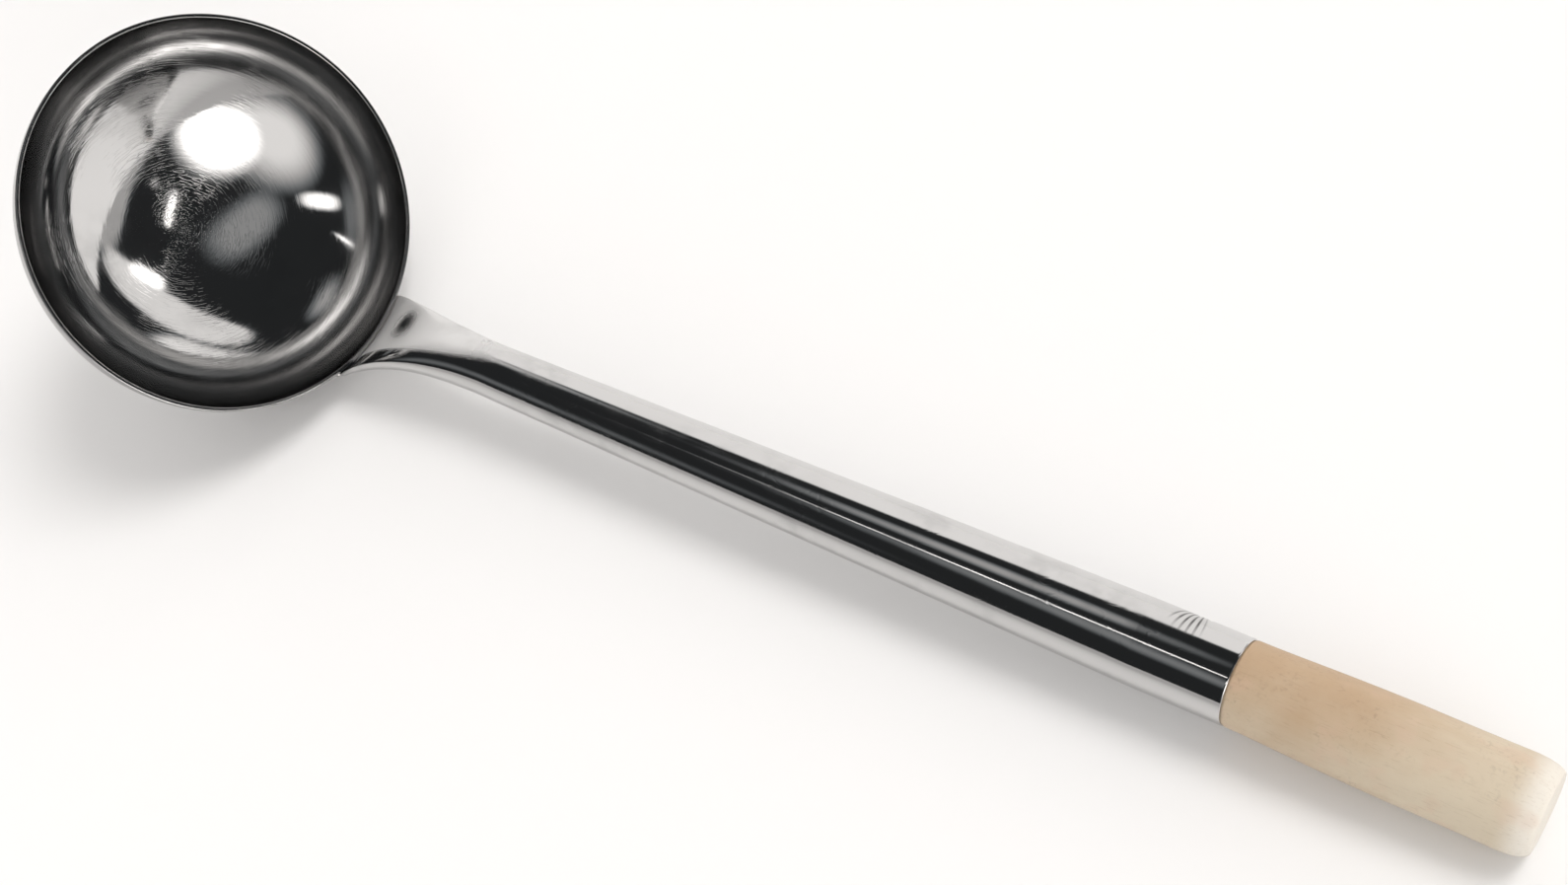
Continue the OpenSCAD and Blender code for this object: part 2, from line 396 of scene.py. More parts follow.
# How far the neck's curve first rises straight out of the rim, and last runs straight into the tube.
NECK_RISE = 18.0 * MM
NECK_RUN = 22.0 * MM

# The hollow in the inner face of the neck: where along the curve it lies, its depth, its half width,
# and its reach along the curve.
HOLLOW_AT = 0.38
HOLLOW_DEPTH = 0.5 * MM
HOLLOW_WIDTH = 5.5 * MM
HOLLOW_REACH = 0.12

# Length over which the end of the tube is eased round.
TUBE_EASE = 0.35 * MM

# The way to the side of the ladle on which the nail sits.
SIDE = np.array([0.0, 1.0, 0.0])


def neck_curve(bowl, handle, at):
    """Middle and heading of the neck: a cubic curve that leaves the rim upward and runs into the
    line of the tube."""
    at = at[:, None]
    direction = np.array([cos(handle.tube_angle), sin(handle.tube_angle)])
    end = np.array([bowl.rim_radius, handle.rise]) + handle.neck_length * direction
    start = np.array([bowl.rim_radius + handle.tongue_thickness / 2, 0.0])
    p1 = start + np.array([0.0, NECK_RISE])
    p2 = end - NECK_RUN * direction
    left = 1.0 - at
    middle = left ** 3 * start + 3 * left ** 2 * at * p1 + 3 * left * at ** 2 * p2 + at ** 3 * end
    heading = left ** 2 * (p1 - start) + 2 * left * at * (p2 - p1) + at ** 2 * (end - p2)
    return middle, unit(heading)


def tube_frame(bowl, handle):
    """Where the line of the tube passes over the rim, the way along it, and the way below it."""
    rise, run = sin(handle.tube_angle), cos(handle.tube_angle)
    over_rim = np.array([bowl.rim_radius, 0.0, handle.rise])
    return over_rim, np.array([run, 0.0, rise]), np.array([rise, 0.0, -run])


def spokes(around, below):
    """The ways out to the corners of a ring that runs from the side to below."""
    return np.cos(around)[:, None] * SIDE + np.sin(around)[:, None] * below


def tube_outside(bowl, handle, grip, inset, tongue):
    """Rings round the handle from the tip of its tongue to the end of its socket.

    The tongue lies on the wall of the bowl and narrows to its tip as an ellipse. Along the neck the
    width and thickness close in on the round tube as 1 - (1 - t)^taper. The straight tube widens
    evenly up to the socket. A shallow hollow is pressed where the flattened end turns round."""
    sides, tongue_rings, neck_rings, taper_rings, socket_rings = 160, 26, 48, 90, 84
    around = ring_angles(sides)
    rings = []
    if tongue:
        for s in np.linspace(radians(86), 0.0, tongue_rings, endpoint=False):
            across, out = section(around, handle.tongue_width / 2 * cos(s), handle.tongue_thickness / 2, 0.0)
            wall = wall_point(bowl, across, np.full(sides, -handle.tongue_length * sin(s)))
            lift = (out + handle.tongue_thickness / 2)[:, None]
            rings.append(wall + lift * wall_out(bowl, wall))
    start = 0.0 if tongue else 0.2
    at = np.linspace(start, 1.0, neck_rings)
    middle, heading = neck_curve(bowl, handle, at)
    for t, c, g in zip(at, middle, heading):
        r = 1.0 - (1.0 - t) ** NECK_TAPER
        half_width = blend(handle.tongue_width / 2, handle.neck_radius, r) - inset
        half_thickness = blend(handle.tongue_thickness / 2, handle.neck_radius, r) - inset
        across, out = section(around, half_width, half_thickness, r)
        if inset == 0.0:
            out = out + saddle(across, np.sin(around), t)
        bent = (1.0 - r) / bowl.rim_radius * across ** 2 / 2
        rings.append(np.stack([c[0] + out * g[1] - bent, across, c[1] - out * g[0]], -1))
    origin, direction, below = tube_frame(bowl, handle)
    socket = handle.tube_length - handle.socket_length
    stations = np.concatenate([
        np.linspace(handle.neck_length, socket, taper_rings)[1:],
        np.linspace(socket, handle.tube_length - TUBE_EASE, socket_rings)[1:],
    ])
    for s in stations:
        share = (s - handle.neck_length) / (socket - handle.neck_length)
        radius = blend(handle.neck_radius, handle.socket_radius, min(1.0, share)) - inset
        if inset == 0.0:
            radius = radius + nail_dimple(around, s, radius, handle, grip)
        radius = np.broadcast_to(radius, around.shape)[:, None]
        rings.append(origin + s * direction + radius * spokes(around, below))
    return rings


def saddle(across, up_or_down, t):
    """Depth of the hollow that is pressed into the inner face of the neck where its flat end turns
    round: a bell both across and along the neck."""
    bell = np.exp(-((across / HOLLOW_WIDTH) ** 2)) * np.exp(-(((t - HOLLOW_AT) / HOLLOW_REACH) ** 2))
    return HOLLOW_DEPTH * bell * np.maximum(0.0, -up_or_down) ** 2


def nail_dimple(around, s, radius, handle, grip):
    """The dent round the nail in the side of the tube: a bell, and ridges that run out from the nail
    like a fan and are gone at about 9 mm."""
    dent, dent_radius = 0.6 * MM, 3.0 * MM
    crease, crease_start, crease_rise, crease_end = 0.38 * MM, 1.5 * MM, 2.5 * MM, 6.5 * MM
    along = s - (handle.tube_length - grip.nail_back)
    over = ((around + pi) % (2 * pi) - pi) * radius
    away = np.hypot(along, over)
    bearing = np.arctan2(along, -over)
    ridges = np.maximum(0.0, np.cos(11.0 * bearing + 0.6)) ** 2
    fan = smooth((away - crease_start) / crease_rise) * np.exp(-((away / crease_end) ** 4))
    return -dent * np.exp(-((away / dent_radius) ** 2)) - crease * ridges * fan


def tube_surface(bowl, handle, grip):
    """The rolled tube with its real wall: the outside from the tongue to the socket, round over the
    end, back along the bore, and closed where the flattened end shuts the hollow."""
    outside = tube_outside(bowl, handle, grip, 0.0, True)
    inside = tube_outside(bowl, handle, grip, handle.wall, False)[::-1]
    around = ring_angles(outside[0].shape[0])
    origin, direction, below = tube_frame(bowl, handle)
    bulge = handle.wall / 2
    end = []
    for turn in np.linspace(0.0, pi, 9)[1:-1]:
        radius = handle.socket_radius - bulge + bulge * cos(turn)
        s = handle.tube_length - TUBE_EASE + TUBE_EASE * sin(turn)
        end.append(origin + s * direction + radius * spokes(around, below))
    grid = np.stack(outside + end + inside)
    return grid, surface_map(around, travelled(grid.mean(1)) * 10.0)


def bead_surface(bowl, handle):
    """The ground weld: a low round rope on the wall along the elliptical edge of the tongue, from
    rim to rim, with slow ripples in its thickness."""
    sides, count = 20, 200
    around = ring_angles(sides)
    at = np.linspace(radians(3.5), pi - radians(3.5), count)
    edge = wall_point(bowl, handle.tongue_width / 2 * np.cos(at), -handle.tongue_length * np.sin(at))
    out = wall_out(bowl, edge)
    toward = np.stack([0 * at, np.cos(at) / handle.tongue_width, -np.sin(at) / handle.tongue_length], -1)
    side = unit(toward - (toward * out).sum(-1, keepdims=True) * out)
    ripple = 1.0 + 0.07 * np.sin(at * 58.0) + 0.05 * np.sin(at * 31.0 + 1.0)
    ends = np.sqrt(np.clip(np.minimum(at, pi - at) / radians(8), 0.15, 1.0))
    radius = (handle.bead * ripple * ends)[:, None, None]
    low = 0.8 * np.cos(around)[None, :, None] * out[:, None]
    grid = edge[:, None] + radius * (low + np.sin(around)[None, :, None] * side[:, None])
    return grid, surface_map(around, at[:, None] * 3.0)


def grip_surface(handle, grip, lying):
    """The turned grip: tenon, shoulder in the plane of the tube's end, a swelling cone, a parallel
    stretch, an elliptical rounding and a sawn butt. Slow waves of 0.1 mm and a butt that is a
    little out of square come from sanding by hand."""
    sides, body_rings, round_rings = 144, 110, 26
    clearance, chamfer = 0.05 * MM, 0.6 * MM
    wave_depth, waves_run = 0.05 * MM, 40.0 / 0.3
    out_of_square, sunk_middle = 0.35 * MM, 0.12 * MM
    around = ring_angles(sides)
    askew = 1.0 - np.cos(around + 0.6)
    square, leaning = spokes(around, lying.tube_below), spokes(around, lying.grip_below)
    tenon = handle.socket_radius - handle.wall - clearance
    rings, marks = [], []
    for s, r in ((-grip.tenon, tenon - chamfer), (-grip.tenon + chamfer, tenon), (0.0, tenon)):
        rings.append(lying.joint + s * lying.tube_dir + r * square)
        marks.append(s)
    body = np.linspace(0.0, grip.shown - grip.butt_round, body_rings)
    swell = np.clip(body / grip.swell, 0.0, 1.0)
    width = blend(grip.joint_radius, grip.radius, np.sin(swell * pi / 2) * 0.35 + swell * 0.65)
    ease = 0.25 * MM * (1.0 - smooth(body / (0.8 * MM)))
    turn = np.linspace(0.0, pi / 2, round_rings)[1:]
    stations = np.concatenate([body, grip.shown - grip.butt_round * (1.0 - np.sin(turn))])
    radii = np.concatenate([width - ease, grip.radius - grip.butt_draw * (1.0 - np.cos(turn))])
    for s, r in zip(stations, radii):
        wave = -wave_depth * (1.0 + np.cos(2 * around + waves_run * s)) * smooth(s / (6.0 * MM))
        near_joint = 1.0 - smooth(s / (10.0 * MM))
        near_butt = smooth((s - grip.shown + grip.butt_round) / grip.butt_round)
        back = (out_of_square * near_butt * askew)[:, None] * lying.grip_dir
        out = blend(leaning, square, near_joint)
        rings.append(lying.joint + s * lying.grip_dir + (r + wave)[:, None] * out - back)
        marks.append(s)
    face = radii[-1]
    for share in (0.97, 0.85, 0.6, 0.3, 0.06):
        back = (out_of_square * (1.0 - share * np.cos(around + 0.6)))[:, None] * lying.grip_dir
        along = grip.shown - sunk_middle * (1.0 - share ** 2)
        rings.append(lying.joint + along * lying.grip_dir + share * face * leaning - back)
        marks.append(grip.shown + (1.0 - share) * face)
    return np.stack(rings), surface_map(around, np.array(marks)[:, None] * 10.0)


def nail_surface(handle, grip, lying):
    """The nail: a point, a round shank and a low domed head, turned about the way out of the side of
    the tube."""
    sides = 40
    shank, point, depth, taper = 0.75 * MM, 0.1 * MM, 8.0 * MM, 1.6 * MM
    dome_base, dome = 0.3 * MM, 0.34 * MM
    around = ring_angles(sides)
    seat = handle.socket_radius - 0.62 * MM
    head = grip.nail_radius
    turn = np.linspace(0.0, pi / 2, 8)[:-1]
    profile = np.concatenate([
        [[point, seat - depth], [shank, seat - depth + taper], [shank, seat - 0.05 * MM]],
        [[head * 0.96, seat], [head, seat + 0.08 * MM]],
        np.stack([head * np.cos(turn), seat + dome_base + dome * np.sin(turn)], -1),
        [[0.05 * MM, seat + dome_base + dome]],
    ])
    flat = np.cos(around)[:, None] * lying.tube_below + np.sin(around)[:, None] * lying.tube_dir
    grid = np.stack([lying.nail + h * SIDE + r * flat for r, h in profile])
    return grid, surface_map(around, profile[:, 1:] * 10.0)


# ---- Shader node groups ----

def new_group(name, inputs, outputs):
    """An empty shader node group with named sockets, and the nodes at its two ends."""
    group = bpy.data.node_groups.new(name, "ShaderNodeTree")
    for kind, label, default in inputs:
        socket = group.interface.new_socket(name=label, in_out="INPUT", socket_type=kind)
        if default is not None:
            socket.default_value = default
    for kind, label in outputs:
        group.interface.new_socket(name=label, in_out="OUTPUT", socket_type=kind)
    return group, group.nodes.new("NodeGroupInput"), group.nodes.new("NodeGroupOutput")


def node(tree, kind, settings=None, **inputs):
    """Adds a node, sets its settings, and sets or links its inputs by name or by number."""
    made = tree.nodes.new(kind)
    for key, value in (settings or {}).items():
        setattr(made, key, value)
    for key, value in inputs.items():
        put(tree, made, key, value)
    return made


def put(tree, made, key, value):
    """Sets or links one input. A key such as in1 stands for the input with that number."""
    number = key[2:] if key.startswith("in") and key[2:].isdigit() else None
    socket = made.inputs[int(number)] if number else made.inputs[key.replace("_", " ")]
    if isinstance(value, bpy.types.NodeSocket):
        tree.links.new(value, socket)
    else:
        socket.default_value = value


def math(tree, operation, a, b=0.0):
    """The result of one maths operation."""
    return node(tree, "ShaderNodeMath", {"operation": operation}, in0=a, in1=b).outputs[0]


def times(tree, a, b):
    """The product of two values."""
    return math(tree, "MULTIPLY", a, b)


def plus(tree, a, b):
    """The sum of two values."""
    return math(tree, "ADD", a, b)


def less(tree, a, b):
    """The first value less the second."""
    return math(tree, "SUBTRACT", a, b)


def vector_math(tree, operation, a, b):
    """The vector that comes out of one vector operation."""
    return node(tree, "ShaderNodeVectorMath", {"operation": operation}, in0=a, in1=b).outputs["Vector"]


def dot(tree, a, b):
    """How far vector a reaches along vector b."""
    return node(tree, "ShaderNodeVectorMath", {"operation": "DOT_PRODUCT"}, in0=a, in1=b).outputs["Value"]


def distance(tree, a, b):
    """How far point a is from point b."""
    return node(tree, "ShaderNodeVectorMath", {"operation": "DISTANCE"}, in0=a, in1=b).outputs["Value"]


def ramp(tree, value, low, high, out_low=0.0, out_high=1.0):
    """Takes value smoothly from out_low to out_high while it goes from low to high."""
    made = node(tree, "ShaderNodeMapRange", {"interpolation_type": "SMOOTHSTEP"}, Value=value)
    for key, number in (("From_Min", low), ("From_Max", high), ("To_Min", out_low), ("To_Max", out_high)):
        put(tree, made, key, number)
    return made.outputs["Result"]


def noise(tree, vector, scale, detail=2.0, roughness=0.5, distortion=0.0):
    """Even noise between 0 and 1."""
    made = node(tree, "ShaderNodeTexNoise", {}, Vector=vector)
    settings = (("Scale", scale), ("Detail", detail), ("Roughness", roughness), ("Distortion", distortion))
    for key, number in settings:
        put(tree, made, key, number)
    return made.outputs["Fac"]


def mix(tree, share, a, b):
    """A colour the given share of the way from a to b."""
    return node(tree, "ShaderNodeMix", {"data_type": "RGBA"}, in0=share, in6=a, in7=b).outputs[2]


def solid(rgb):
    """A colour with full alpha."""
    return tuple(rgb) + (1.0,)


def hairlines_group():
    """Fine polishing lines: noise that is drawn out along u or v, cut to thin ridges, and present in
    patches.

    Along and Across set how many lines there are along u and along v. Height goes to a bump and Mask
    to the roughness."""
    group, ends, out = new_group(
        "Polishing lines",
        [("NodeSocketVector", "Surface", None), ("NodeSocketVector", "Place", None),
         ("NodeSocketFloat", "Along", 6.0), ("NodeSocketFloat", "Across", 700.0)],
        [("NodeSocketFloat", "Height"), ("NodeSocketFloat", "Mask")],
    )
    along, across = ends.outputs["Along"], ends.outputs["Across"]
    stretch = node(group, "ShaderNodeCombineXYZ", {}, X=along, Y=across, Z=1.0)
    drawn = vector_math(group, "MULTIPLY", ends.outputs["Surface"], stretch.outputs["Vector"])
    lines = noise(group, drawn, 1.0, 2.0, 0.5, 0.1)
    ridge = math(group, "ABSOLUTE", less(group, lines, 0.5))
    thin = ramp(group, ridge, 0.0, 0.035, 1.0, 0.0)
    patches = ramp(group, noise(group, ends.outputs["Place"], 38.0), 0.42, 0.68)
    marks = times(group, thin, patches)
    group.links.new(plus(group, lines, times(group, marks, -0.6)), out.inputs["Height"])
    group.links.new(marks, out.inputs["Mask"])
    return group


def smudges_group():
    """Cloudy handling marks: two sizes of noise multiplied, so that they gather in a few places."""
    group, ends, out = new_group(
        "Smudges",
        [("NodeSocketVector", "Place", None), ("NodeSocketFloat", "Size", 22.0)],
        [("NodeSocketFloat", "Mask")],
    )
    place, size = ends.outputs["Place"], ends.outputs["Size"]
    wide = noise(group, place, size)
    fine = noise(group, place, times(group, size, 4.3), 4.0)
    both = times(group, ramp(group, wide, 0.42, 0.66), ramp(group, fine, 0.3, 0.7))
    group.links.new(both, out.inputs["Mask"])
    return group


def group_node(tree, group, **inputs):
    """Places a node group in a material with its own values."""
    return node(tree, "ShaderNodeGroup", {"node_tree": group}, **inputs)


def new_material(name):
    """An empty node material with its shader linked to the surface, and the two coordinates."""
    material = bpy.data.materials.new(name)
    material.use_nodes = True
    tree = material.node_tree
    tree.nodes.clear()
    shader = tree.nodes.new("ShaderNodeBsdfPrincipled")
    out = tree.nodes.new("ShaderNodeOutputMaterial")
    tree.links.new(shader.outputs["BSDF"], out.inputs["Surface"])
    place = tree.nodes.new("ShaderNodeTexCoord").outputs["Object"]
    surface = tree.nodes.new("ShaderNodeUVMap")
    surface.uv_map = "Surface"
    return material, tree, shader, place, surface.outputs["UV"]


def bump(tree, height, depth, normal=None):
    """A bump from a height, in metres, on top of another normal where one is given."""
    made = node(tree, "ShaderNodeBump", {}, Height=height, Distance=depth, Strength=1.0)
    if normal is not None:
        put(tree, made, "Normal", normal)
    return made.outputs["Normal"]


def polished_steel(name, tint, lines, smudges, look, finishes_and_shade):
    """Buffed stainless sheet: a mirror with slow waves from the press, fine polishing lines that
    soften it a little, a coarser set of ripples from the buffing wheel, and faint smudges.

    look holds the gloss and the sizes and depths of these. Each entry of the last argument is a function
    that gives a mask, and how much rougher, how much darker as painted shade, and how much more matt the
    steel is where the mask is one."""
    material, tree, shader, place, surface = new_material(name)
    along, across = look["lines"]
    marks = group_node(tree, lines, Surface=surface, Place=place, Along=along, Across=across)
    along, across = look["ripples"]
    ripples = group_node(tree, lines, Surface=surface, Place=place, Along=along, Across=across)
    dirt = group_node(tree, smudges, Place=place, Size=look["smudge_size"])
    slow = noise(tree, place, look["wave_size"], 1.0, 0.4)
    normal = bump(tree, slow, look["wave_depth"])
    normal = bump(tree, ripples.outputs["Height"], look["ripple_depth"], normal)
    normal = bump(tree, marks.outputs["Height"], look["line_depth"], normal)
    tree.links.new(normal, shader.inputs["Normal"])
    rough = plus(tree, times(tree, marks.outputs["Mask"], look["line_rough"]), look["gloss"])
    rough = plus(tree, rough, times(tree, dirt.outputs["Mask"], look["smudge_rough"]))
    tone = mix(tree, dirt.outputs["Mask"], solid(tint), solid(0.86 * c for c in tint))
    metal = 1.0
    for mask, coarse, shade, matt in finishes_and_shade:
        over = mask(tree, place)
        rough = plus(tree, rough, times(tree, over, coarse))
        # Painted shade: where the mask is one, the colour is blended the share shade of the way to black.
        tone = mix(tree, times(tree, over, shade), tone, solid(BLACK))
        metal = less(tree, metal, times(tree, over, matt))
    put(tree, shader, "Metallic", metal)
    tree.links.new(rough, shader.inputs["Roughness"])
    tree.links.new(tone, shader.inputs["Base Color"])
    return material


# Finishes of the steel. Lines and ripples are how many there are along and across the surface.
BOWL_LOOK = {
    "gloss": 0.045, "lines": (9.0, 330.0), "line_depth": 0.0010 * MM, "line_rough": 0.07,
    "ripples": (20.0, 60.0), "ripple_depth": 0.012 * MM, "wave_size": 26.0, "wave_depth": 0.16 * MM,
    "smudge_size": 34.0, "smudge_rough": 0.05,
}
TUBE_LOOK = {
    "gloss": 0.07, "lines": (260.0, 3.0), "line_depth": 0.0015 * MM, "line_rough": 0.06,
    "ripples": (14.0, 9.0), "ripple_depth": 0.012 * MM, "wave_size": 30.0, "wave_depth": 0.12 * MM,
    "smudge_size": 40.0, "smudge_rough": 0.07,
}
NAIL_LOOK = {
    "gloss": 0.16, "lines": (12.0, 60.0), "line_depth": 0.004 * MM, "line_rough": 0.1,
    "ripples": (8.0, 20.0), "ripple_depth": 0.004 * MM, "wave_size": 200.0, "wave_depth": 0.05 * MM,
    "smudge_size": 300.0, "smudge_rough": 0.15,
}


def near_rim_rough_and_shaded(lying):
    """A mask over the upper part of the bowl's wall, which is hard to reach with a wheel and is made a
    little rougher there. The steel is also darkened there as painted shade, standing in for the dark
    reflections just inside the rim.
    It rises from 0 to 1 between 27 and 19 mm below the rim."""
    mouth = Vector((sin(lying.turn), 0.0, cos(lying.turn)))
    rim = mouth.dot(Vector(lying.shift))
    return lambda tree, place: ramp(tree, dot(tree, place, mouth[:]), rim - 27 * MM, rim - 19 * MM)


def toward_bowl(lying):
    """The way back along the tube to the bowl."""
    return -Vector(lying.place(lying.tube_dir) - lying.shift)


def neck_face(bowl, handle, lying):
    """A mask over the inner face of the neck, which is ground by hand: it fades out along the tube
    and over the polished right side, and in the hollow, which the wheel hardly reaches."""
    back = toward_bowl(lying)
    neck = back.dot(Vector(lying.place(lying.over_rim)))
    middle, heading = neck_curve(bowl, handle, np.array([HOLLOW_AT]))
    inner = middle[0] + 3.0 * MM * np.array([-heading[0, 1], heading[0, 0]])
    hollow = lying.place(np.array([inner[0], 2.5 * MM, inner[1]]))
    slant = (-0.16, 1.0, 0.0)

    def mask(tree, place):
        ground = ramp(tree, dot(tree, place, back[:]), neck - 46 * MM, neck - 20 * MM)
        left = ramp(tree, dot(tree, place, slant), 11.3 * MM, 13.3 * MM)
        reached = ramp(tree, distance(tree, place, tuple(hollow)), 1.0 * MM, 8.0 * MM)
        return times(tree, times(tree, ground, left), reached)

    return mask


def nail_creases_rough_and_shaded(lying):
    """A mask over the creases that run out from the nail like a fan, over the inner face of the socket,
    where the steel is made a little rougher and darkened as painted shade:
    a cosine of the bearing from the nail, between two distances and two bearings."""
    back = toward_bowl(lying)
    above = Vector(SIDE).cross(back)
    nail = tuple(lying.place(lying.nail))
    per_radian, middle = 38.0, 0.10

    def mask(tree, place):
        gap = vector_math(tree, "SUBTRACT", place, nail)
        along, over = dot(tree, gap, back[:]), dot(tree, gap, above[:])
        away = math(tree, "POWER", plus(tree, times(tree, along, along), times(tree, over, over)), 0.5)
        bearing = math(tree, "ARCTAN2", along, over)
        spread = math(tree, "ABSOLUTE", less(tree, bearing, middle))
        fan = ramp(tree, away, 2.0 * MM, 4.5 * MM)
        fan = times(tree, fan, ramp(tree, away, 9.5 * MM, 12.5 * MM, 1.0, 0.0))
        fan = times(tree, fan, ramp(tree, spread, 0.36, 0.48, 1.0, 0.0))
        fan = times(tree, fan, ramp(tree, dot(tree, place, tuple(SIDE)), 0.0, 3.0 * MM))
        ridge = math(tree, "COSINE", times(tree, bearing, per_radian))
        return times(tree, fan, ramp(tree, ridge, 0.0, 0.9))

    return mask


def weld_steel(name, lines, smudges):
    """The dressed weld: satin, a little darker and warmer in places from the heat."""
    clean, heated = (0.62, 0.61, 0.60), (0.46, 0.41, 0.36)
    material, tree, shader, place, surface = new_material(name)
    shader.inputs["Metallic"].default_value = 1.0
    marks = group_node(tree, lines, Surface=surface, Place=place, Along=12.0, Across=40.0)
    dirt = group_node(tree, smudges, Place=place, Size=160.0).outputs["Mask"]
    grain = noise(tree, place, 2400.0, 3.0, 0.6)
    normal = bump(tree, grain, 0.03 * MM, bump(tree, marks.outputs["Height"], 0.05 * MM))
    tree.links.new(normal, shader.inputs["Normal"])
    tree.links.new(plus(tree, times(tree, dirt, 0.2), 0.2), shader.inputs["Roughness"])
    tree.links.new(mix(tree, dirt, solid(clean), solid(heated)), shader.inputs["Base Color"])
    return material


def pale_wood(grip, lying, smudges):
    """Fine, nearly grainless hardwood. Colour runs from warm near the joint and along the top to
    pale near the butt and below, with pores and faint rings drawn out along the grip, a raw pale end
    and a few dark smudges."""
    raw_end, pink = (0.80, 0.765, 0.70), (0.60, 0.40, 0.29)
    pore, stain = (0.30, 0.20, 0.12), (0.22, 0.16, 0.11)
    material, tree, shader, place, _ = new_material("Pale hardwood")
    joint = Vector(lying.place(lying.joint))
    along = Vector(lying.place(lying.joint + lying.grip_dir)) - joint
    centred = vector_math(tree, "SUBTRACT", place, tuple(joint))
    down_grip = dot(tree, centred, tuple(along.normalized()))
    turn = Matrix.Rotation(-atan2(-along.z, along.x), 3, "Y").to_euler()
    straight = node(tree, "ShaderNodeVectorRotate", {"rotation_type": "EULER_XYZ"}, Vector=centred)
    straight.inputs["Rotation"].default_value = turn
    straight = straight.outputs["Vector"]
    figure = noise(tree, vector_math(tree, "MULTIPLY", straight, (14.0, 260.0, 260.0)), 1.0, 4.0, 0.55, 0.4)
    pores = noise(tree, vector_math(tree, "MULTIPLY", straight, (260.0, 2600.0, 2600.0)), 1.0, 3.0, 0.6)
    pored = ramp(tree, pores, 0.32, 0.44, 1.0, 0.0)
    clouds = noise(tree, place, 55.0, 3.0, 0.55, 0.2)
    side = node(tree, "ShaderNodeSeparateXYZ", {}, Vector=centred).outputs
    high = ramp(tree, plus(tree, side["Z"], times(tree, side["Y"], 0.9)), -7 * MM, 15 * MM)
    lightness = 0.0
    for part, weight in (
        (ramp(tree, down_grip, 5 * MM, grip.shown), 0.62), (high, -0.38), (clouds, 0.75), (figure, 0.30)
    ):
        lightness = plus(tree, times(tree, part, weight), lightness)
    wood = mix(tree, ramp(tree, lightness, 0.1, 1.05), solid(grip.warm_wood), solid(grip.pale_wood))
    end = ramp(tree, down_grip, grip.shown - 10.0 * MM, grip.shown - 2.0 * MM)
    patches = ramp(tree, noise(tree, place, 110.0), 0.52, 0.72)
    dirt = group_node(tree, smudges, Place=place, Size=70.0).outputs["Mask"]
    specks = times(tree, dirt, ramp(tree, noise(tree, place, 900.0), 0.5, 0.7))
    for mask, share, tint in (
        (end, 0.8, raw_end), (patches, 0.28, pink), (pored, 0.16, pore), (specks, 0.35, stain)
    ):
        wood = mix(tree, times(tree, mask, share), wood, solid(tint))
    tree.links.new(wood, shader.inputs["Base Color"])
    tree.links.new(plus(tree, times(tree, figure, 0.22), 0.42), shader.inputs["Roughness"])
    raised = plus(tree, times(tree, figure, 0.5), times(tree, pored, -0.5))
    tree.links.new(bump(tree, raised, 0.05 * MM), shader.inputs["Normal"])
    return material


# ---- Studio ----

def camera_axes(stage):
    """The camera's right, up and backward directions for its azimuth, elevation and roll."""
    a, e = stage.azimuth, stage.elevation
    back = Vector((sin(a) * cos(e), -cos(a) * cos(e), sin(e)))
    level = Vector((cos(a), sin(a), 0.0))
    up = back.cross(level)
    right = level * cos(stage.roll) + up * sin(stage.roll)
    return right, back.cross(right), back


def softbox_group():
    """One soft light in the distance: bright where the ray is within its width and height, which are
    measured on a plane square to the direction of the light, and fading out at its edge.

    Corners is the power that shapes it, from 2 for an ellipse to 8 for a rectangle."""
    sockets = [("NodeSocketVector", label, None) for label in ("Ray", "Toward", "Across", "Up")]
    values = [("Width", 0.3), ("Height", 0.3), ("Corners", 2.0), ("Softness", 0.1), ("Light", 1.0)]
    sockets += [("NodeSocketFloat", label, default) for label, default in values]
    group, ends, out = new_group("Softbox", sockets, [("NodeSocketFloat", "Light")])
    ray = ends.outputs["Ray"]
    depth = dot(group, ray, ends.outputs["Toward"])
    in_front = math(group, "GREATER_THAN", depth, 0.02)
    safe = math(group, "MAXIMUM", depth, 0.02)
    shares = []
    for axis, size in (("Across", "Width"), ("Up", "Height")):
        reach = math(group, "DIVIDE", dot(group, ray, ends.outputs[axis]), safe)
        share = math(group, "ABSOLUTE", math(group, "DIVIDE", reach, ends.outputs[size]))
        shares.append(math(group, "POWER", share, ends.outputs["Corners"]))
    total = plus(group, *shares)
    away = math(group, "POWER", total, math(group, "DIVIDE", 1.0, ends.outputs["Corners"]))
    inner = less(group, 1.0, ends.outputs["Softness"])
    outer = plus(group, 1.0, ends.outputs["Softness"])
    lit = ramp(group, away, inner, outer, 1.0, 0.0)
    lit = times(group, lit, in_front)
    group.links.new(times(group, lit, ends.outputs["Light"]), out.inputs["Light"])
    return group


